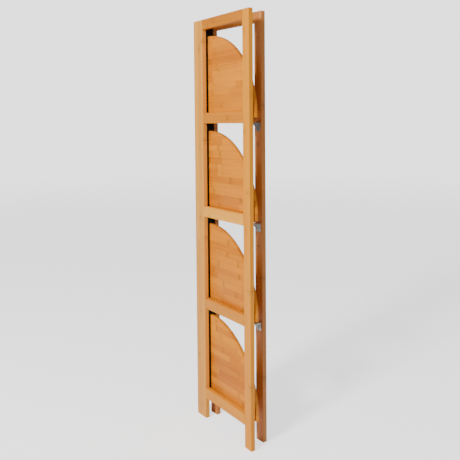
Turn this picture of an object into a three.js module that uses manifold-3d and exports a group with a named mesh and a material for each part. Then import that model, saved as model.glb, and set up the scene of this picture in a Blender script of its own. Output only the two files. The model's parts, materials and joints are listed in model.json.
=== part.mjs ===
// Folding ladder shelf: two bamboo ladder frames hinged along one side, and four quarter-round
// shelves that fold up between them. Modelled folded. Millimetres, +Z up, +X along the front
// frame, +Y from the front frame to the rear one. The origin is the middle of the floor outline.

import * as THREE from 'three';
import { mergeVertices } from 'three/addons/utils/BufferGeometryUtils.js';
import Module from 'manifold-3d';

const wasm = await Module();
wasm.setup();

// ---------------------------------------------------------------- driving dimensions (mm)

const overallHeight = 1400;
const boardThickness = 16; // posts and rails
const railHeight = 36;
const topRailHeight = 34;
const topBayInset = 6; // the top bay is this much shorter than the shelf pitch
const legLength = 74; // from the floor up to the lowest rail
const shelfCount = 4;
const woodEdgeRadius = 1.6; // softened edges of posts and rails
const postCornerRadius = 0.1; // left on a post's section inside its softened edges

const frontWidth = 340;
const frontHingePostWidth = 58; // the wide post, which hides the folded hinge side
const frontOuterPostWidth = 36;

const rearHingePostWidth = 37;
const rearOuterPostWidth = 36;
const rearOverhang = 24.5; // rear frame beyond the hinge axis
const rearPastShelf = 11.8; // unfolded, rear frame beyond the shelves' far edge
const foldedAngle = 4.5; // degrees between the frames when folded

const battenWidth = 10; // black spacer that carries the rear frame
const battenDepth = 26.8;
const battenTopDrop = 20; // below the top of the frame
const battenBottomRise = 80; // above the floor

const shelfFoldGap = 44; // shelf pitch less the folded shelf's height
const shelfThickness = 12;
const shelfSideClearance = 2; // from the hinge batten to the shelf's side
const shelfTipInset = 0.5; // from the front frame's outer edge
const shelfSetDown = 18; // folded shelf's lower edge below its rail's top
const shelfEdgeRadius = 1.5;

const leafThickness = 1.2;
const knuckleRadius = 2.5;
const pinRadius = 1.2;
const pinClearance = 0.3; // all round the pin
const pinHeadHeight = 0.8;
const pinHeadInset = 0.2; // head's edge inside the knuckle's
const knuckleCount = 3; // per hinge: the fixed leaf's two and the moving leaf's one
const frameLeafLength = 60;
const frameLeafWidth = 20;
const frameHingeCount = 3;
const frameHingeEndDistance = 130; // from the batten's ends to the outer hinges' middles
const shelfLeafLength = 50;
const shelfLeafWidth = 15;
const shelfHingeEndDistance = 55; // from the shelf's side and tip to the hinges' middles
const shelfHingeDrop = 1; // hinge axis below the folded shelf's lower edge

const bracketWidth = 20;
const bracketDepth = 25;
const bracketHeight = 27;
const bracketThickness = 1.8;
const bracketEdgeDistance = 6; // from the rear frame's outer edge
const bracketCount = 3; // the lowest shelf has none

const roundSegments = 16; // round a pin or a knuckle
const shelfCurveSegments = 40; // along a shelf's quarter ellipse
const railEdgeSegments = 4; // round each softened edge of a rail
const softEdgeSteps = 2; // across the softened edges of posts and shelves
const mergeDistance = 1e-4;
const contactGap = 0.3; // between pieces that touch
const knuckleGap = 0.4; // between neighbouring knuckles

// ---------------------------------------------------------------- derived places

const mountDistance = knuckleRadius + contactGap; // from a hinge axis to the wood behind a leaf
const battenRight = frontHingePostWidth;
const battenLeft = battenRight - battenWidth;
const battenFront = boardThickness + contactGap;
const battenBack = battenFront + battenDepth;
const battenBottom = battenBottomRise;
const battenTop = overallHeight - battenTopDrop;
const frameAxisX = battenLeft - mountDistance;
const frameAxisY = battenBack;

const shelfLeft = battenRight + shelfSideClearance;
const shelfAxisY = boardThickness + mountDistance;
const shelfPitch = (overallHeight + topBayInset - railHeight - legLength) / shelfCount;
const shelfReach = frontWidth - shelfTipInset - shelfLeft; // along the front frame
const shelfDepth = shelfPitch - shelfFoldGap; // away from it
const railTops = Array.from({ length: shelfCount }, (_, i) =>
  overallHeight + topBayInset - (i + 1) * shelfPitch); // from the top shelf down
const shelfAxisZ = (railTop) => railTop - shelfSetDown - shelfHingeDrop;

const foldedRadians = THREE.MathUtils.degToRad(foldedAngle);
// From the frame hinges' axis to the rear frame's outer edge.
const rearFarX = shelfAxisY + shelfHingeDrop + shelfDepth + rearPastShelf - frameAxisY;
const rearWidth = rearOverhang + rearFarX;

// ---------------------------------------------------------------- materials

const bamboo = (hue) => new THREE.MeshStandardMaterial({ color: hue, roughness: 0.5, metalness: 0 });
const frontBamboo = bamboo(0xd9a369);
const rearBamboo = bamboo(0xb9804c);
const shelfBamboo = bamboo(0xd99a55);
const blackStrip = new THREE.MeshStandardMaterial({ color: 0x161412, roughness: 0.7, metalness: 0 });
const zincSteel = new THREE.MeshStandardMaterial({ color: 0xa9adb0, roughness: 0.35, metalness: 0.9 });
const pinSteel = new THREE.MeshStandardMaterial({ color: 0xc2c5c7, roughness: 0.25, metalness: 1 });

// ---------------------------------------------------------------- solids

// A THREE geometry as a manifold solid, and back.
function toSolid(geometry) {
  const bare = geometry.clone();
  bare.deleteAttribute('normal');
  bare.deleteAttribute('uv');
  const merged = mergeVertices(bare.index ? bare.toNonIndexed() : bare, mergeDistance);
  return new wasm.Manifold(new wasm.Mesh({
    numProp: 3,
    vertProperties: new Float32Array(merged.attributes.position.array),
    triVerts: new Uint32Array(merged.index.array),
  }));
}

function fromSolid(solid) {
  const mesh = solid.getMesh();
  const geometry = new THREE.BufferGeometry();
  geometry.setAttribute('position', new THREE.BufferAttribute(mesh.vertProperties, 3));
  geometry.setIndex(new THREE.BufferAttribute(mesh.triVerts, 1));
  const flat = geometry.toNonIndexed();
  flat.computeVertexNormals();
  return flat;
}

const unite = (geometries) => geometries.map(toSolid).reduce((whole, piece) => whole.add(piece));

// A box between two corners.
function block([x0, y0, z0], [x1, y1, z1]) {
  return new THREE.BoxGeometry(x1 - x0, y1 - y0, z1 - z0)
    .translate((x0 + x1) / 2, (y0 + y1) / 2, (z0 + z1) / 2);
}

// A rectangle centred on the origin, with round corners.
function roundedRectangle(width, depth, radius) {
  const [a, b] = [width / 2, depth / 2];
  const outline = new THREE.Shape();
  outline.moveTo(-a + radius, -b);
  outline.absarc(a - radius, -b + radius, radius, -Math.PI / 2, 0, false);
  outline.absarc(a - radius, b - radius, radius, 0, Math.PI / 2, false);
  outline.absarc(-a + radius, b - radius, radius, Math.PI / 2, Math.PI, false);
  outline.absarc(-a + radius, -b + radius, radius, Math.PI, Math.PI * 1.5, false);
  return outline;
}

// An upright post from the floor up, its ends softened like its edges.
function postGeometry(width) {
  const inner = roundedRectangle(
    width - 2 * woodEdgeRadius, boardThickness - 2 * woodEdgeRadius, postCornerRadius);
  return new THREE.ExtrudeGeometry(inner, {
    depth: overallHeight - 2 * woodEdgeRadius,
    bevelSize: woodEdgeRadius,
    bevelThickness: woodEdgeRadius,
    bevelSegments: softEdgeSteps,
    curveSegments: 1,
  }).translate(width / 2, boardThickness / 2, woodEdgeRadius);
}

// A rail between two posts: soft along its length, square at its ends.
function railGeometry(length, height) {
  const section = roundedRectangle(boardThickness, height, woodEdgeRadius);
  return new THREE.ExtrudeGeometry(section, {
    depth: length,
    bevelEnabled: false,
    curveSegments: railEdgeSegments,
  })
    .rotateX(Math.PI / 2)
    .rotateZ(Math.PI / 2)
    .translate(0, boardThickness / 2, -height / 2);
}

// A quarter-round board standing on its straight edge: its corner at the origin, its top side
// towards -Y.
function shelfGeometry() {
  const inset = shelfEdgeRadius;
  const outline = new THREE.Shape();
  outline.moveTo(inset, inset);
  outline.lineTo(shelfReach - inset, inset);
  outline.absellipse(inset, inset, shelfReach - 2 * inset, shelfDepth - 2 * inset, 0, Math.PI / 2);
  outline.closePath();
  return new THREE.ExtrudeGeometry(outline, {
    depth: shelfThickness - 2 * inset,
    bevelSize: inset,
    bevelThickness: inset,
    bevelSegments: softEdgeSteps,
    curveSegments: shelfCurveSegments,
  }).translate(0, 0, inset).rotateX(Math.PI / 2).translate(0, shelfThickness, 0);
}

// A closed cylinder along Z, from z0 to z1.
function rod(radius, z0, z1) {
  return new THREE.CylinderGeometry(radius, radius, z1 - z0, roundSegments)
    .rotateX(Math.PI / 2).translate(0, 0, (z0 + z1) / 2);
}

// One leaf of a butt hinge: axis along Z through the origin, wood at x = mountDistance, plate
// towards -Y. Its knuckles are every second one, from the first (0) or the second (1).
function leafGeometry(length, width, firstKnuckle) {
  const step = length / knuckleCount;
  const plateX = knuckleRadius - leafThickness;
  const clearY = -(knuckleRadius + contactGap);
  const half = length / 2;
  const pieces = [block([plateX, -width, -half], [knuckleRadius, clearY, half])];
  for (let i = firstKnuckle; i < knuckleCount; i += 2) {
    const z0 = i * step - half + knuckleGap / 2;
    const z1 = z0 + step - knuckleGap;
    pieces.push(rod(knuckleRadius, z0, z1));
    pieces.push(block([plateX, clearY - leafThickness, z0], [knuckleRadius, 0, z1]));
  }
  const bore = toSolid(rod(pinRadius + pinClearance, -length, length));
  return fromSolid(unite(pieces).subtract(bore));
}

// The hinge's pin, along Z, with a flat head past each end knuckle.
function pinGeometry(length) {
  const half = length / 2;
  const headRadius = knuckleRadius - pinHeadInset;
  const profile = [
    [0, -half - pinHeadHeight], [headRadius, -half - pinHeadHeight], [headRadius, -half],
    [pinRadius, -half], [pinRadius, half], [headRadius, half],
    [headRadius, half + pinHeadHeight], [0, half + pinHeadHeight],
  ].map(([r, z]) => new THREE.Vector2(r, z));
  return new THREE.LatheGeometry(profile, roundSegments).rotateX(Math.PI / 2);
}

// A shelf's support: an angle with a triangular web. Wood at y = 0, shelf above z = 0, middle of
// its width at x = 0.
function bracketGeometry() {
  const half = bracketWidth / 2;
  const web = new THREE.Shape([
    [-contactGap, 0], [-contactGap, -bracketHeight], [-contactGap - bracketThickness, -bracketHeight],
    [-bracketDepth, -bracketThickness], [-bracketDepth, 0],
  ].map(([y, z]) => new THREE.Vector2(y, z)));
  const webPlate = new THREE.ExtrudeGeometry(web, { depth: bracketThickness, bevelEnabled: false })
    .rotateX(Math.PI / 2).rotateZ(Math.PI / 2).translate(-bracketThickness / 2, 0, 0);
  return fromSolid(unite([
    block([-half, -contactGap - bracketThickness, -bracketHeight], [half, -contactGap, 0]),
    block([-half, -bracketDepth, -bracketThickness], [half, -contactGap, 0]),
    webPlate,
  ]));
}

// ---------------------------------------------------------------- assembly

function node(name, geometry, material, x = 0, y = 0, z = 0) {
  const mesh = new THREE.Mesh(geometry, material);
  mesh.name = name;
  mesh.position.set(x, y, z);
  return mesh;
}

// A ladder frame with its left edge at x = 0 and its front face at y = 0.
function ladderFrame(prefix, width, hingePostWidth, outerPostWidth, material) {
  const frame = new THREE.Group();
  const railStart = hingePostWidth + contactGap;
  const railLength = width - hingePostWidth - outerPostWidth - 2 * contactGap;
  frame.add(node(`${prefix}_hinge_post`, postGeometry(hingePostWidth), material));
  frame.add(node(`${prefix}_outer_post`, postGeometry(outerPostWidth), material, width - outerPostWidth));
  frame.add(node(`${prefix}_top_rail`, railGeometry(railLength, topRailHeight), material,
    railStart, 0, overallHeight));
  railTops.forEach((railTop, i) => {
    frame.add(node(`${prefix}_shelf_rail_${i + 1}`, railGeometry(railLength, railHeight), material,
      railStart, 0, railTop));
  });
  return frame;
}

// Turns a node so that its own X and Y point along these two directions.
function turn(mesh, alongX, alongY) {
  const [x, y] = [new THREE.Vector3(...alongX), new THREE.Vector3(...alongY)];
  mesh.quaternion.setFromRotationMatrix(new THREE.Matrix4().makeBasis(x, y, x.clone().cross(y)));
}

// The three pieces of a butt hinge, the fixed leaf and pin in one group, the moving leaf in another.
function addHinge(name, [fixedWord, movingWord], [length, width], fixedGroup, movingGroup, place) {
  const fixedLeaf = node(`${name}_${fixedWord}_leaf`, leafGeometry(length, width, 0), zincSteel);
  const movingLeaf = node(`${name}_${movingWord}_leaf`, leafGeometry(length, width, 1), zincSteel);
  const pin = node(`${name}_pin`, pinGeometry(length), pinSteel);
  place(fixedLeaf, movingLeaf, pin);
  fixedGroup.add(fixedLeaf, pin);
  movingGroup.add(movingLeaf);
}

const ladderShelf = new THREE.Group();

const frontFrame = ladderFrame('front', frontWidth, frontHingePostWidth, frontOuterPostWidth, frontBamboo);
frontFrame.add(node('hinge_batten',
  block([battenLeft, battenFront, battenBottom], [battenRight, battenBack, battenTop]), blackStrip));
ladderShelf.add(frontFrame);

// The rear frame's group turns about the frame hinges' axis.
const rearFrame = new THREE.Group();
rearFrame.position.set(frameAxisX, frameAxisY, 0);
rearFrame.rotation.z = foldedRadians;
const rearLadder = ladderFrame('rear', rearWidth, rearHingePostWidth, rearOuterPostWidth, rearBamboo);
rearLadder.position.set(-rearOverhang, mountDistance, 0);
rearFrame.add(rearLadder);
ladderShelf.add(rearFrame);

// Shelves, from the top one down, each turning about its own hinges' axis.
const hingeMiddles = [shelfHingeEndDistance, shelfReach - shelfHingeEndDistance];
railTops.forEach((railTop, i) => {
  const number = i + 1;
  const shelf = new THREE.Group();
  shelf.position.set(shelfLeft, shelfAxisY, shelfAxisZ(railTop));
  shelf.add(node(`shelf_board_${number}`, shelfGeometry(), shelfBamboo, 0, mountDistance, shelfHingeDrop));
  ladderShelf.add(shelf);
  const railSide = new THREE.Group();
  railSide.position.copy(shelf.position);
  frontFrame.add(railSide);
  hingeMiddles.forEach((middle, j) => {
    addHinge(`shelf_${number}_hinge_${'ab'[j]}`, ['rail', 'shelf'], [shelfLeafLength, shelfLeafWidth],
      railSide, shelf, (railLeaf, shelfLeaf, pin) => {
        // Both leaves point up; the rail's lies against the rail, the shelf's against the board.
        turn(railLeaf, [0, -1, 0], [0, 0, -1]);
        turn(shelfLeaf, [0, 1, 0], [0, 0, -1]);
        turn(pin, [0, 1, 0], [0, 0, 1]);
        [railLeaf, shelfLeaf, pin].forEach((piece) => { piece.position.x = middle; });
      });
  });
});

// Brackets on the rear frame's outer post, under the upper shelves once they are down.
const shelfUnderside = (railTop) => shelfAxisZ(railTop) - mountDistance - shelfThickness;
const bracketX = rearWidth - bracketEdgeDistance - bracketWidth / 2;
railTops.slice(0, bracketCount).forEach((railTop, i) => {
  rearLadder.add(node(`shelf_bracket_${i + 1}`, bracketGeometry(), zincSteel,
    bracketX, 0, shelfUnderside(railTop) - contactGap));
});

// Frame hinges: fixed leaf on the batten's side, moving leaf on the rear frame's overhang.
const hingeSpan = battenTop - battenBottom - 2 * frameHingeEndDistance;
const fixedSide = new THREE.Group();
fixedSide.position.set(frameAxisX, frameAxisY, 0);
frontFrame.add(fixedSide);
for (let i = 0; i < frameHingeCount; i += 1) {
  const height = battenTop - frameHingeEndDistance - (i * hingeSpan) / (frameHingeCount - 1);
  addHinge(`frame_hinge_${i + 1}`, ['batten', 'frame'], [frameLeafLength, frameLeafWidth],
    fixedSide, rearFrame, (battenLeaf, frameLeaf, pin) => {
      turn(frameLeaf, [0, 1, 0], [1, 0, 0]);
      [battenLeaf, frameLeaf, pin].forEach((piece) => { piece.position.z = height; });
    });
}

const outline = new THREE.Box3().setFromObject(ladderShelf, true);
const middle = outline.getCenter(new THREE.Vector3());
ladderShelf.position.set(-middle.x, -middle.y, -outline.min.z);

export default ladderShelf;
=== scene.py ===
import json
import math
import bmesh
import bpy
from mathutils import Matrix, Vector


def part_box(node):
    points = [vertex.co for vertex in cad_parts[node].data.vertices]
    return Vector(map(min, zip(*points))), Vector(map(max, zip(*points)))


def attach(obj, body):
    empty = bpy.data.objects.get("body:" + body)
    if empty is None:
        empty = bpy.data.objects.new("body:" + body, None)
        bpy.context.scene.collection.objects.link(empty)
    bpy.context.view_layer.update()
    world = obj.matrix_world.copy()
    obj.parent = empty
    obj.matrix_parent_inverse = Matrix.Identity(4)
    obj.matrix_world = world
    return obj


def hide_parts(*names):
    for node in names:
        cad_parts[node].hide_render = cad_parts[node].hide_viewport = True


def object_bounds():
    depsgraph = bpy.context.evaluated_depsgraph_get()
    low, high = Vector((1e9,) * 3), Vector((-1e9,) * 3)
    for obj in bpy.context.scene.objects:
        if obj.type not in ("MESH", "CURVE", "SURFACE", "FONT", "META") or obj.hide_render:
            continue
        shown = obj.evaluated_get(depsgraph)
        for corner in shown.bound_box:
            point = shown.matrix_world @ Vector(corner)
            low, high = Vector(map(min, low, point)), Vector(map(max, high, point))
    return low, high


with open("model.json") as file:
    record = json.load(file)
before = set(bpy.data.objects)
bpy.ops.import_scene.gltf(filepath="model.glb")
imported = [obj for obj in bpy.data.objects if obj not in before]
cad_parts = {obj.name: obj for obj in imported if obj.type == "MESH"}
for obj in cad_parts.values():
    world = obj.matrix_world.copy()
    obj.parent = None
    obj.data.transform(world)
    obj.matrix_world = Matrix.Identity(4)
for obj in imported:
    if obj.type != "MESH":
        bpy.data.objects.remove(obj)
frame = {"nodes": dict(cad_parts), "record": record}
nodes = frame["nodes"]
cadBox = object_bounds()
print("frame loaded:", len(nodes), "nodes")


def setInput(tree, socket, value):
    # links a socket, or sets a plain value
    if isinstance(value, bpy.types.NodeSocket):
        tree.links.new(value, socket)
    else:
        socket.default_value = value


def liveSocket(sockets, label):
    # the one of that name that the node's data type uses
    return next(socket for socket in sockets if socket.name == label and socket.enabled)


def addNode(tree, kind, inputs=None, **settings):
    node = tree.nodes.new(kind)
    for label, value in settings.items():
        setattr(node, label, value)
    for label, value in (inputs or {}).items():
        setInput(tree, node.inputs[label], value)
    return node


def makeGroup(name, treeKind, inputs, outputs):
    tree = bpy.data.node_groups.new(name, treeKind)
    for label, kind, value in inputs:
        socket = tree.interface.new_socket(name=label, in_out="INPUT", socket_type=kind)
        if value is not None:
            socket.default_value = value
    for label, kind in outputs:
        tree.interface.new_socket(name=label, in_out="OUTPUT", socket_type=kind)
    return tree, tree.nodes.new("NodeGroupInput"), tree.nodes.new("NodeGroupOutput")


def mathNode(tree, operation, *values, clamp=False):
    node = addNode(tree, "ShaderNodeMath", operation=operation, use_clamp=clamp)
    for socket, value in zip(node.inputs, values):
        setInput(tree, socket, value)
    return node.outputs[0]


def rangeNode(tree, value, span, newSpan, smooth=False):
    # carries one (low, high) span over to another
    kind = "SMOOTHSTEP" if smooth else "LINEAR"
    inputs = {"Value": value, "From Min": span[0], "From Max": span[1],
              "To Min": newSpan[0], "To Max": newSpan[1]}
    return addNode(tree, "ShaderNodeMapRange", inputs, interpolation_type=kind).outputs["Result"]


def stretchedNoise(tree, vector, shape):
    # noise with its own scale along X, Y and Z
    stretched = addNode(tree, "ShaderNodeVectorMath", {0: vector, 1: shape["scale"]}, operation="MULTIPLY")
    inputs = {"Vector": stretched.outputs["Vector"], "Scale": 1.0, "Detail": shape["detail"],
              "Roughness": shape["roughness"]}
    return addNode(tree, "ShaderNodeTexNoise", inputs).outputs["Fac"]


def whiteNoise(tree, value):
    return addNode(tree, "ShaderNodeTexWhiteNoise", {"W": value}, noise_dimensions="1D").outputs["Value"]


def mixColour(tree, factor, first, second, blend="MIX"):
    node = addNode(tree, "ShaderNodeMix", data_type="RGBA", blend_type=blend)
    for label, value in (("Factor", factor), ("A", first), ("B", second)):
        setInput(tree, liveSocket(node.inputs, label), value)
    return next(socket for socket in node.outputs if socket.enabled)


def linkObject(name, data):
    made = bpy.data.objects.new(name, data)
    bpy.context.scene.collection.objects.link(made)
    return made


def dress(node, material):
    node.data.materials.clear()
    node.data.materials.append(material)


stripPattern = {
    "seedStep": 7.31, "pieceStep": 13.7, "knotStep": 5.17,  # keep the chance draws apart
    "stagger": 9.0,  # furthest shift of a strip's joints, in pieces
    "jointEdge": (0.4985, 0.5), "seamEdge": (0.475, 0.5),  # from the middle of a piece or a strip
    "knotLine": (0.0, 0.012), "knotHalo": (0.0, 0.07),  # from the knot, as shares of the spacing
    "haloStrength": 0.45,
    "blotch": {"scale": (60, 60, 30), "detail": 2, "roughness": 0.5},
    "blotchSpan": (0.35, 0.62), "blotchShare": (0.1, 1.0),
    "fibre": {"scale": (900, 900, 14), "detail": 3, "roughness": 0.6},
    "streak": {"scale": (190, 190, 5), "detail": 2, "roughness": 0.5},
    "broad": {"scale": (16, 16, 2.4), "detail": 2, "roughness": 0.5},
    "noiseSpan": (0.3, 0.7), "roughness": (0.36, 0.52),
    "toneShare": 0.42, "fibreShare": 0.22, "streakShare": 0.24, "broadShare": 0.24,
    "fibreHeight": 0.5, "seamHeight": 0.8, "knotHeight": 0.3,
}


def makeBambooGroup(pattern):
    # Laminated strips side by side along X, grain along Z; the caller turns the pattern.
    tree, start, end = makeGroup(
        "bambooStrips",
        "ShaderNodeTree",
        [
            ("Vector", "NodeSocketVector", None),
            ("Light Tone", "NodeSocketColor", (0.7, 0.4, 0.17, 1)),
            ("Dark Tone", "NodeSocketColor", (0.5, 0.25, 0.08, 1)),
            ("Strip Width", "NodeSocketFloat", 0.02),
            ("Piece Length", "NodeSocketFloat", 0.4),
            ("Knot Spacing", "NodeSocketFloat", 0.3),
            ("Knot Depth", "NodeSocketFloat", 0.3),
            ("Seam Depth", "NodeSocketFloat", 0.2),
            ("Seed", "NodeSocketFloat", 0.0),
        ],
        [("Color", "NodeSocketColor"), ("Roughness", "NodeSocketFloat"), ("Height", "NodeSocketFloat")],
    )
    given = start.outputs
    full = (0.0, 1.0)

    def calculate(operation, *values, clamp=False):
        return mathNode(tree, operation, *values, clamp=clamp)

    def fromMiddle(value):
        # how far a number's fraction is from a half
        return calculate("ABSOLUTE", calculate("SUBTRACT", calculate("FRACT", value), 0.5))

    split = addNode(tree, "ShaderNodeSeparateXYZ", {0: given["Vector"]})
    across = calculate("DIVIDE", split.outputs["X"], given["Strip Width"])
    across = calculate("ADD", across, given["Seed"])
    stripKey = calculate("MULTIPLY_ADD", given["Seed"], pattern["seedStep"], calculate("FLOOR", across))
    # strips are made of pieces end to end, each with a tone of its own
    pieces = calculate("DIVIDE", split.outputs["Z"], given["Piece Length"])
    pieces = calculate("ADD", pieces, calculate("MULTIPLY", whiteNoise(tree, stripKey), pattern["stagger"]))
    pieceKey = calculate("MULTIPLY_ADD", calculate("FLOOR", pieces), pattern["pieceStep"], stripKey)
    toneChance = whiteNoise(tree, pieceKey)
    joint = rangeNode(tree, fromMiddle(pieces), pattern["jointEdge"], full, smooth=True)
    seam = rangeNode(tree, fromMiddle(across), pattern["seamEdge"], full, smooth=True)
    seam = calculate("MAXIMUM", seam, joint)
    # knots: a narrow band across each strip, at its own height
    along = calculate("DIVIDE", split.outputs["Z"], given["Knot Spacing"])
    fromKnot = fromMiddle(calculate("MULTIPLY_ADD", toneChance, pattern["knotStep"], along))
    knotLine = rangeNode(tree, fromKnot, pattern["knotLine"], (1.0, 0.0), smooth=True)
    knotHalo = rangeNode(tree, fromKnot, pattern["knotHalo"], (pattern["haloStrength"], 0.0), smooth=True)
    blotch = stretchedNoise(tree, given["Vector"], pattern["blotch"])
    blotch = rangeNode(tree, blotch, pattern["blotchSpan"], pattern["blotchShare"], smooth=True)
    knot = calculate("MULTIPLY", calculate("MAXIMUM", knotLine, knotHalo), blotch)
    # fibres: fine streaks, and broad soft bands
    fibre = stretchedNoise(tree, given["Vector"], pattern["fibre"])
    streak = stretchedNoise(tree, given["Vector"], pattern["streak"])
    broad = stretchedNoise(tree, given["Vector"], pattern["broad"])
    tone = calculate("MULTIPLY", toneChance, pattern["toneShare"])
    for noise, share, last in ((fibre, "fibreShare", False), (streak, "streakShare", False),
                               (broad, "broadShare", True)):
        spread = rangeNode(tree, noise, pattern["noiseSpan"], full)
        tone = calculate("MULTIPLY_ADD", spread, pattern[share], tone, clamp=last)
    colour = mixColour(tree, tone, given["Light Tone"], given["Dark Tone"])
    knotShade = calculate("SUBTRACT", 1.0, calculate("MULTIPLY", knot, given["Knot Depth"]))
    seamShade = calculate("SUBTRACT", 1.0, calculate("MULTIPLY", seam, given["Seam Depth"]))
    shade = calculate("MULTIPLY", knotShade, seamShade)
    shadeColour = addNode(tree, "ShaderNodeCombineColor", {"Red": shade, "Green": shade, "Blue": shade})
    colour = mixColour(tree, 1.0, colour, shadeColour.outputs[0], "MULTIPLY")
    height = calculate("MULTIPLY", fibre, pattern["fibreHeight"])
    height = calculate("SUBTRACT", height, calculate("MULTIPLY", seam, pattern["seamHeight"]))
    height = calculate("SUBTRACT", height, calculate("MULTIPLY", knot, pattern["knotHeight"]))
    tree.links.new(colour, end.inputs["Color"])
    rough = rangeNode(tree, fibre, pattern["noiseSpan"], pattern["roughness"])
    tree.links.new(rough, end.inputs["Roughness"])
    tree.links.new(height, end.inputs["Height"])
    return tree


bambooGroup = makeBambooGroup(stripPattern)

grainUpright = (0, 0, 0)
grainLevel = (0, math.pi / 2, 0)  # along X

# lengths in metres; knotDepth and seam are how much they darken the board
bambooFinishes = {
    "postBamboo": {
        "light": (0.95, 0.375, 0.012), "dark": (0.68, 0.215, 0.004), "strip": 0.0193, "piece": 3.0,
        "knot": 0.31, "knotDepth": 0.35, "seam": 0.16, "seed": 0.1, "turn": grainUpright},
    "hingePostBamboo": {
        "light": (0.93, 0.42, 0.06), "dark": (0.7, 0.265, 0.025), "strip": 0.0193, "piece": 2.0,
        "knot": 0.34, "knotDepth": 0.35, "seam": 0.16, "seed": 3.4, "turn": grainUpright},
    "railBamboo": {
        "light": (0.9, 0.345, 0.012), "dark": (0.62, 0.2, 0.004), "strip": 0.018, "piece": 2.0,
        "knot": 0.27, "knotDepth": 0.35, "seam": 0.14, "seed": 5.2, "turn": grainLevel},
    "deepRailBamboo": {
        "light": (0.80, 0.27, 0.008), "dark": (0.52, 0.155, 0.003), "strip": 0.018, "piece": 2.0,
        "knot": 0.29, "knotDepth": 0.35, "seam": 0.14, "seed": 6.4, "turn": grainLevel},
    "paleRailBamboo": {
        "light": (1.0, 0.45, 0.045), "dark": (0.82, 0.31, 0.018), "strip": 0.018, "piece": 2.0,
        "knot": 0.28, "knotDepth": 0.3, "seam": 0.14, "seed": 8.1, "turn": grainLevel},
    "shelfBamboo": {
        "light": (0.95, 0.335, 0.004), "dark": (0.52, 0.125, 0.001), "strip": 0.021, "piece": 0.19,
        "knot": 0.23, "knotDepth": 0.5, "seam": 0.22, "seed": 2.7, "turn": grainLevel},
    # the rear frame's tones are darker than the front frame's: painted shade, for the shadow the front frame
    # casts on it
    "rearPostPaintedShadeBamboo": {
        "light": (0.74, 0.29, 0.075), "dark": (0.46, 0.145, 0.028), "strip": 0.0185, "piece": 2.0,
        "knot": 0.33, "knotDepth": 0.4, "seam": 0.18, "seed": 7.9, "turn": grainUpright},
    "rearRailPaintedShadeBamboo": {
        "light": (0.70, 0.26, 0.05), "dark": (0.42, 0.125, 0.018), "strip": 0.018, "piece": 2.0,
        "knot": 0.29, "knotDepth": 0.4, "seam": 0.18, "seed": 9.3, "turn": grainLevel},
}

lacquer = {"gloss": 0.35, "coat": 0.12, "coatRoughness": 0.3, "bump": 0.35, "bumpDistance": 0.0004}


def makeMaterial(name, group, place, inputs, bump, bumpDistance):
    # colour, roughness and bump come from the group; place(tree) gives the group's vector
    material = bpy.data.materials.new(name)
    material.use_nodes = True
    tree = material.node_tree
    shader = tree.nodes["Principled BSDF"]
    pattern = addNode(tree, "ShaderNodeGroup", node_tree=group)
    tree.links.new(place(tree), pattern.inputs["Vector"])
    for label, value in inputs.items():
        pattern.inputs[label].default_value = value
    relief = addNode(tree, "ShaderNodeBump",
                     {"Strength": bump, "Distance": bumpDistance, "Height": pattern.outputs["Height"]})
    tree.links.new(pattern.outputs["Color"], shader.inputs["Base Color"])
    tree.links.new(pattern.outputs["Roughness"], shader.inputs["Roughness"])
    tree.links.new(relief.outputs["Normal"], shader.inputs["Normal"])
    return material, shader


def makeBamboo(name, finish):
    def turned(tree):
        place = addNode(tree, "ShaderNodeTexCoord").outputs["Object"]
        mapping = addNode(tree, "ShaderNodeMapping", {"Vector": place, "Rotation": finish["turn"]})
        return mapping.outputs["Vector"]

    inputs = {"Light Tone": (*finish["light"], 1), "Dark Tone": (*finish["dark"], 1),
              "Strip Width": finish["strip"], "Piece Length": finish["piece"], "Knot Spacing": finish["knot"],
              "Knot Depth": finish["knotDepth"], "Seam Depth": finish["seam"], "Seed": finish["seed"]}
    material, shader = makeMaterial(name, bambooGroup, turned, inputs, lacquer["bump"],
                                    lacquer["bumpDistance"])
    shader.inputs["Specular IOR Level"].default_value = lacquer["gloss"]
    shader.inputs["Coat Weight"].default_value = lacquer["coat"]
    shader.inputs["Coat Roughness"].default_value = lacquer["coatRoughness"]
    return material


bamboo = {name: makeBamboo(name, finish) for name, finish in bambooFinishes.items()}
print("bamboo made")

wearPattern = {
    "patchDetail": 4, "patchSpan": (0.35, 0.65), "share": 0.5,  # streaks and patches count alike
    "streak": {"scale": (3000, 3000, 60), "detail": 2, "roughness": 0.5},
}


def makeWearGroup(pattern):
    # Fine drawn streaks and soft dull patches, for sheet metal and moulded strip.
    tree, start, end = makeGroup(
        "surfaceWear",
        "ShaderNodeTree",
        [
            ("Vector", "NodeSocketVector", None),
            ("Clean Tone", "NodeSocketColor", (0.6, 0.6, 0.6, 1)),
            ("Dull Tone", "NodeSocketColor", (0.4, 0.4, 0.4, 1)),
            ("Patch Scale", "NodeSocketFloat", 60.0),
            ("Low Roughness", "NodeSocketFloat", 0.25),
            ("High Roughness", "NodeSocketFloat", 0.45),
        ],
        [("Color", "NodeSocketColor"), ("Roughness", "NodeSocketFloat"), ("Height", "NodeSocketFloat")],
    )
    given = start.outputs
    patch = addNode(tree, "ShaderNodeTexNoise", {"Vector": given["Vector"], "Scale": given["Patch Scale"],
                                                 "Detail": pattern["patchDetail"]})
    spread = rangeNode(tree, patch.outputs["Fac"], pattern["patchSpan"], (0, 1), smooth=True)
    streak = stretchedNoise(tree, given["Vector"], pattern["streak"])
    tree.links.new(mixColour(tree, spread, given["Clean Tone"], given["Dull Tone"]), end.inputs["Color"])
    span = mathNode(tree, "SUBTRACT", given["High Roughness"], given["Low Roughness"])
    worn = mathNode(tree, "MULTIPLY", spread, pattern["share"])
    worn = mathNode(tree, "MULTIPLY_ADD", streak, pattern["share"], worn)
    rough = mathNode(tree, "MULTIPLY_ADD", worn, span, given["Low Roughness"])
    tree.links.new(rough, end.inputs["Roughness"])
    tree.links.new(streak, end.inputs["Height"])
    return tree


wearGroup = makeWearGroup(wearPattern)

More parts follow.
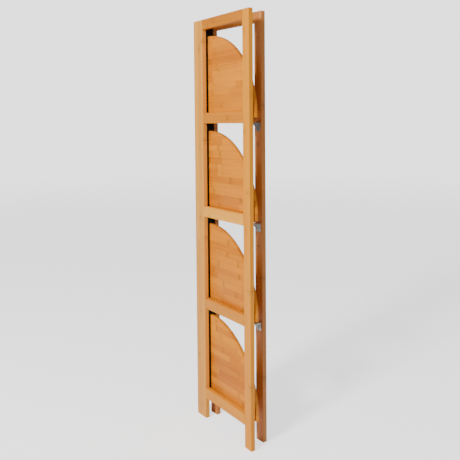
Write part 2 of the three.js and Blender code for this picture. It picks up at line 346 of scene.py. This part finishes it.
plainFinishes = {
    "zincSteel": {"clean": (0.62, 0.64, 0.63), "dull": (0.40, 0.42, 0.41), "scale": 90,
                  "rough": (0.24, 0.42), "metallic": 1.0, "gloss": 0.5, "bump": 0.08},
    "brightPin": {"clean": (0.72, 0.72, 0.72), "dull": (0.55, 0.55, 0.55), "scale": 120,
                  "rough": (0.14, 0.3), "metallic": 1.0, "gloss": 0.5, "bump": 0.05},
    "screwSteel": {"clean": (0.60, 0.60, 0.58), "dull": (0.36, 0.36, 0.35), "scale": 220,
                   "rough": (0.22, 0.4), "metallic": 1.0, "gloss": 0.5, "bump": 0.05},
    "blackStrip": {"clean": (0.008, 0.0045, 0.0022), "dull": (0.014, 0.0085, 0.0045), "scale": 40,
                   "rough": (0.6, 0.8), "metallic": 0.0, "gloss": 0.08, "bump": 0.12},
}
plainBumpDistance = 0.0002


def makePlain(name, finish):
    def unturned(tree):
        return addNode(tree, "ShaderNodeTexCoord").outputs["Object"]

    low, high = finish["rough"]
    inputs = {"Clean Tone": (*finish["clean"], 1), "Dull Tone": (*finish["dull"], 1),
              "Patch Scale": finish["scale"], "Low Roughness": low, "High Roughness": high}
    material, shader = makeMaterial(name, wearGroup, unturned, inputs, finish["bump"], plainBumpDistance)
    shader.inputs["Metallic"].default_value = finish["metallic"]
    shader.inputs["Specular IOR Level"].default_value = finish["gloss"]
    return material


plain = {name: makePlain(name, finish) for name, finish in plainFinishes.items()}
print("steel and strip made")

# front pieces that differ from the other front rails
frontFinishes = {
    "front_hinge_post": "hingePostBamboo", "front_outer_post": "postBamboo",
    "front_top_rail": "deepRailBamboo", "front_shelf_rail_1": "deepRailBamboo",
    "front_shelf_rail_2": "paleRailBamboo",
}

for name, node in nodes.items():
    if name.startswith("front_"):
        dress(node, bamboo[frontFinishes.get(name, "railBamboo")])
    elif name.startswith("rear_"):
        # rear pieces take the darker bamboo tones, which are painted shade
        dress(node, bamboo["rearPostPaintedShadeBamboo" if name.endswith("_post") else "rearRailPaintedShadeBamboo"])
    elif name == "hinge_batten":
        dress(node, plain["blackStrip"])

smoothing = {"shelfAngle": 35, "steelAngle": 40, "flatAngle": 0.5, "mergeDistance": 1e-5}


def smoothCopy(node, name, material, angle):
    # a merged copy whose faces meet smoothly below the angle
    mesh = node.data.copy()
    work = bmesh.new()
    work.from_mesh(mesh)
    bmesh.ops.remove_doubles(work, verts=work.verts, dist=smoothing["mergeDistance"])
    bmesh.ops.dissolve_limit(work, angle_limit=math.radians(smoothing["flatAngle"]), verts=work.verts,
                             edges=work.edges)
    for face in work.faces:
        face.smooth = True
    for edge in work.edges:
        if len(edge.link_faces) == 2 and edge.calc_face_angle() > math.radians(angle):
            edge.smooth = False
    work.to_mesh(mesh)
    work.free()
    piece = linkObject(name, mesh)
    dress(piece, material)
    return piece


bodies = frame["record"]["behaviour"]["bodies"]
bodyOf = {member: body for body, members in bodies.items() for member in members}

for name in sorted(nodes):
    if name.startswith("shelf_board_"):
        piece = smoothCopy(nodes[name], f"{name}_shaped", bamboo["shelfBamboo"], smoothing["shelfAngle"])
    elif name.endswith("_leaf") or name.startswith("shelf_bracket_"):
        piece = smoothCopy(nodes[name], f"{name}_shaped", plain["zincSteel"], smoothing["steelAngle"])
    elif name.endswith("_pin"):
        piece = smoothCopy(nodes[name], f"{name}_shaped", plain["brightPin"], smoothing["steelAngle"])
    else:
        continue
    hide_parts(name)
    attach(piece, bodyOf[name])
print("boards and hinges shaped")

screws = {
    "headRadius": 0.0026, "headRise": 0.0007, "seed": 4, "sides": 16,
    "dome": ((1.0, 0.0), (0.97, 0.45), (0.8, 0.8), (0.5, 0.97)),  # (reach, lift) as shares of the head
    "crossStep": 4, "arm": (0.42, 0.9), "betweenArms": (0.2, 0.55), "crossBottom": 0.25,
}


def makeScrewHead(shape):
    # A shallow domed head with a cross cut into it, its seat at z = 0.
    mesh = bpy.data.meshes.new("screwHead")
    work = bmesh.new()
    sides = shape["sides"]

    def ringPoint(i, reach, lift):
        angle = math.tau * i / sides
        return work.verts.new((reach * math.cos(angle), reach * math.sin(angle), lift))

    rings = [[ringPoint(i, reach, lift) for i in range(sides)] for reach, lift in shape["dome"]]
    crossRing = [shape["betweenArms" if i % shape["crossStep"] else "arm"] for i in range(sides)]
    rings.append([ringPoint(i, reach, lift) for i, (reach, lift) in enumerate(crossRing)])
    for low, high in zip(rings, rings[1:]):
        for i in range(sides):
            after = (i + 1) % sides
            work.faces.new((low[i], low[after], high[after], high[i]))
    deep = work.verts.new((0, 0, shape["crossBottom"]))
    for i in range(sides):
        work.faces.new((rings[-1][i], rings[-1][(i + 1) % sides], deep))
    work.faces.new(list(reversed(rings[0])))
    bmesh.ops.recalc_face_normals(work, faces=work.faces)
    work.to_mesh(mesh)
    work.free()
    return linkObject("screwHead", mesh)


def makeScrewTree():
    # a head on each point, turned to face its way and spun by chance about it
    tree, start, end = makeGroup(
        "placedScrews",
        "GeometryNodeTree",
        [
            ("Geometry", "NodeSocketGeometry", None),
            ("Head", "NodeSocketObject", None),
            ("Head Radius", "NodeSocketFloat", 0.0026),
            ("Head Rise", "NodeSocketFloat", 0.0007),
            ("Seed", "NodeSocketInt", 0),
            ("Material", "NodeSocketMaterial", None),
        ],
        [("Geometry", "NodeSocketGeometry")],
    )
    given = start.outputs
    points = addNode(tree, "GeometryNodeMeshToPoints", {"Mesh": given["Geometry"]})
    facing = addNode(tree, "GeometryNodeInputNamedAttribute", {"Name": "facing"}, data_type="FLOAT_VECTOR")
    align = addNode(tree, "FunctionNodeAlignRotationToVector",
                    {"Vector": facing.outputs["Attribute"]}, axis="Z")
    chance = addNode(tree, "FunctionNodeRandomValue", {"Seed": given["Seed"]}, data_type="FLOAT")
    liveSocket(chance.inputs, "Min").default_value = 0.0
    liveSocket(chance.inputs, "Max").default_value = math.tau
    spin = addNode(tree, "FunctionNodeAxisAngleToRotation",
                   {"Axis": (0, 0, 1), "Angle": liveSocket(chance.outputs, "Value")})
    turned = addNode(tree, "FunctionNodeRotateRotation",
                     {"Rotation": align.outputs["Rotation"], "Rotate By": spin.outputs["Rotation"]},
                     rotation_space="LOCAL")
    head = addNode(tree, "GeometryNodeObjectInfo", {"Object": given["Head"]})
    size = addNode(tree, "ShaderNodeCombineXYZ",
                   {"X": given["Head Radius"], "Y": given["Head Radius"], "Z": given["Head Rise"]})
    placed = addNode(tree, "GeometryNodeInstanceOnPoints",
                     {"Points": points.outputs["Points"], "Instance": head.outputs["Geometry"],
                      "Rotation": turned.outputs["Rotation"], "Scale": size.outputs["Vector"]})
    real = addNode(tree, "GeometryNodeRealizeInstances", {"Geometry": placed.outputs["Instances"]})
    coat = addNode(tree, "GeometryNodeSetMaterial",
                   {"Geometry": real.outputs["Geometry"], "Material": given["Material"]})
    tree.links.new(coat.outputs["Geometry"], end.inputs["Geometry"])
    return tree


screwHead = makeScrewHead(screws)
screwTree = makeScrewTree()


def placeScrews(name, body, places):
    # places: (point on the steel, direction the head faces)
    mesh = bpy.data.meshes.new(name)
    mesh.from_pydata([point for point, facing in places], [], [])
    attribute = mesh.attributes.new("facing", "FLOAT_VECTOR", "POINT")
    for index, (point, facing) in enumerate(places):
        attribute.data[index].vector = facing
    holder = linkObject(f"{name}_points", mesh)
    modifier = holder.modifiers.new("screws", "NODES")
    modifier.node_group = screwTree
    values = {"Head": screwHead, "Head Radius": screws["headRadius"], "Head Rise": screws["headRise"],
              "Seed": screws["seed"], "Material": plain["screwSteel"]}
    for item in screwTree.interface.items_tree:
        if item.item_type == "SOCKET" and item.in_out == "INPUT" and item.name in values:
            modifier[item.identifier] = values[item.name]
    bpy.context.view_layer.update()
    graph = bpy.context.evaluated_depsgraph_get()
    made = bpy.data.meshes.new_from_object(holder.evaluated_get(graph))
    made.name = name
    holder.modifiers.remove(modifier)
    bpy.data.objects.remove(holder)
    for polygon in made.polygons:
        polygon.use_smooth = False
    piece = linkObject(name, made)
    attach(piece, body)


def numbersOf(pattern):
    # the numbers that give the name of a node when put into the pattern
    return [number for number in range(1, len(nodes)) if pattern.format(number) in nodes]


# metres; the shares place three screws along each leaf
leafScrews = {
    "shares": (-0.36, 0.0, 0.36), "shelfLeafAcross": 0.0095, "frameLeafAcross": 0.0125,  # from the axis
    "knuckleRadius": 0.0025, "leafThickness": 0.0012,
}

# shelf hinges: both leaves stand above the axis, against the rail and against the board
rearward = Vector((0, 1, 0))
forward = Vector((0, -1, 0))
frontPlaces = []
for number in numbersOf("shelf_board_{}"):
    shelfPlaces = []
    for letter in "ab":
        low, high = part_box(f"shelf_{number}_hinge_{letter}_rail_leaf")
        boardLow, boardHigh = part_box(f"shelf_{number}_hinge_{letter}_shelf_leaf")
        height = low.z + leafScrews["knuckleRadius"] + leafScrews["shelfLeafAcross"]
        for share in leafScrews["shares"]:
            x = (low.x + high.x) / 2 + share * (high.x - low.x)
            frontPlaces.append((Vector((x, low.y + leafScrews["leafThickness"], height)), rearward))
            shelfPlaces.append((Vector((x, boardHigh.y - leafScrews["leafThickness"], height)), forward))
    placeScrews(f"shelf_screws_{number}", f"shelf_{number}", shelfPlaces)

# frame hinges: the batten's leaves face -X, the rear frame's leaves face its front
foldedAngle = math.radians(4.5)
rearFront = Vector((math.sin(foldedAngle), -math.cos(foldedAngle), 0))
rearAlong = Vector((math.cos(foldedAngle), math.sin(foldedAngle), 0))
leafFace = leafScrews["knuckleRadius"] - leafScrews["leafThickness"]  # behind the axis


def frameAxis(number):
    pinLow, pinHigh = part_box(f"frame_hinge_{number}_pin")
    return (pinLow + pinHigh) / 2


rearPlaces = []
for number in numbersOf("frame_hinge_{}_pin"):
    low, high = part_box(f"frame_hinge_{number}_batten_leaf")
    axis = frameAxis(number)
    for share in leafScrews["shares"]:
        z = (low.z + high.z) / 2 + share * (high.z - low.z)
        place = Vector((high.x - leafScrews["leafThickness"], axis.y - leafScrews["frameLeafAcross"], z))
        frontPlaces.append((place, Vector((-1, 0, 0))))
        place = axis - rearAlong * leafScrews["frameLeafAcross"] - rearFront * leafFace
        rearPlaces.append((Vector((place.x, place.y, z)), rearFront))

# brackets: two screws through the upright plate, either side of the web
bracketScrews = {
    "fromWeb": 0.0065, "rise": 0.010,
    "plateShift": 0.0011,  # from the middle of the bracket's box to the middle of its plate
    "plateFace": 0.0007,  # behind the frame hinges' axis
}
axis = frameAxis(1)  # every frame hinge has the same x and y
for number in numbersOf("shelf_bracket_{}"):
    low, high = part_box(f"shelf_bracket_{number}")
    plateMiddle = (low.x + high.x) / 2 + bracketScrews["plateShift"]
    for side in (-1, 1):
        reach = (plateMiddle - axis.x) / rearAlong.x + side * bracketScrews["fromWeb"]
        place = axis + rearAlong * reach - rearFront * bracketScrews["plateFace"]
        rearPlaces.append((Vector((place.x, place.y, low.z + bracketScrews["rise"])), rearFront))

placeScrews("front_screws", "front_frame", frontPlaces)
placeScrews("rear_screws", "rear_frame", rearPlaces)
bpy.data.objects.remove(screwHead)
print("screws placed")

floorLook = {"size": 60.0, "tone": (0.94, 0.94, 0.94), "roughness": 0.9, "glow": 1.35,
             "fade": (2.5, 11.0)}  # where the floor turns into the backdrop
backdropLook = {"seen": 2.3, "light": 0.36}  # strength for the camera, and for everything else

floorMesh = bpy.data.meshes.new("floor")
half = floorLook["size"] / 2
floorMesh.from_pydata([(-half, -half, 0), (half, -half, 0), (half, half, 0), (-half, half, 0)], [],
                      [(0, 1, 2, 3)])
floor = linkObject("floor", floorMesh)
floorPaint = bpy.data.materials.new("floorPaint")
floorPaint.use_nodes = True
floorTree = floorPaint.node_tree
floorShader = floorTree.nodes["Principled BSDF"]
floorShader.inputs["Roughness"].default_value = floorLook["roughness"]
floorShader.inputs["Specular IOR Level"].default_value = 0.0
floorShader.inputs["Emission Color"].default_value = (1, 1, 1, 1)
# far from the shelf the floor turns into the backdrop, so no horizon shows
floorPlace = addNode(floorTree, "ShaderNodeTexCoord").outputs["Object"]
floorReach = addNode(floorTree, "ShaderNodeVectorMath", {0: floorPlace}, operation="LENGTH").outputs["Value"]
fade = rangeNode(floorTree, floorReach, floorLook["fade"], (0, 1), smooth=True)
floorTree.links.new(mixColour(floorTree, fade, (*floorLook["tone"], 1), (0.0, 0.0, 0.0, 1)),
                    floorShader.inputs["Base Color"])
floorRays = addNode(floorTree, "ShaderNodeLightPath").outputs["Is Camera Ray"]
glow = rangeNode(floorTree, fade, (0, 1), (floorLook["glow"], backdropLook["seen"]))
floorTree.links.new(mathNode(floorTree, "MULTIPLY", glow, floorRays), floorShader.inputs["Emission Strength"])
dress(floor, floorPaint)

world = bpy.data.worlds.new("studio")
bpy.context.scene.world = world
world.use_nodes = True
background = world.node_tree.nodes["Background"]
background.inputs["Color"].default_value = (1, 1, 1, 1)
worldRays = addNode(world.node_tree, "ShaderNodeLightPath").outputs["Is Camera Ray"]
strength = rangeNode(world.node_tree, worldRays, (0, 1), (backdropLook["light"], backdropLook["seen"]))
world.node_tree.links.new(strength, background.inputs["Strength"])

# azimuth runs from the front (-Y) towards +X
lamps = {
    "keyLamp": {"energy": 300, "size": 0.8, "azimuth": 20, "elevation": 32, "distance": 5.0},
    "fillLamp": {"energy": 8, "size": 3.0, "azimuth": 75, "elevation": 15, "distance": 5.0},
}


def addLamp(name, look, target):
    lamp = bpy.data.lights.new(name, "AREA")
    lamp.energy = look["energy"]
    lamp.size = look["size"]
    holder = linkObject(name, lamp)
    azimuth, elevation = math.radians(look["azimuth"]), math.radians(look["elevation"])
    way = Vector((math.sin(azimuth) * math.cos(elevation), -math.cos(azimuth) * math.cos(elevation),
                  math.sin(elevation)))
    holder.location = target + way * look["distance"]
    holder.rotation_euler = (-way).to_track_quat("-Z", "Y").to_euler()


middleOfShelf = (cadBox[0] + cadBox[1]) / 2
for name, look in lamps.items():
    addLamp(name, look, middleOfShelf)

# the sensor is an upright frame, 24 mm wide and 36 mm high
view = {"place": (1.808, -1.16545, 1.0516), "yaw": 57.27, "pitch": 3.55, "roll": -0.46,
        "lens": 50.29, "shiftY": -0.149, "sensorWidth": 24, "sensorHeight": 36}
camera = bpy.data.cameras.new("camera")
camera.sensor_fit = "VERTICAL"
camera.sensor_width = view["sensorWidth"]
camera.sensor_height = view["sensorHeight"]
camera.lens = view["lens"]
camera.shift_y = view["shiftY"]
cameraHolder = linkObject("camera", camera)
yaw, pitch = math.radians(view["yaw"]), math.radians(view["pitch"])
ahead = Vector((-math.sin(yaw) * math.cos(pitch), math.cos(yaw) * math.cos(pitch), -math.sin(pitch)))
level = ahead.to_track_quat("-Z", "Y").to_matrix().to_4x4()
rolled = level @ Matrix.Rotation(math.radians(view["roll"]), 4, "Z")
cameraHolder.matrix_world = Matrix.Translation(Vector(view["place"])) @ rolled
bpy.context.scene.camera = cameraHolder
print("studio set")
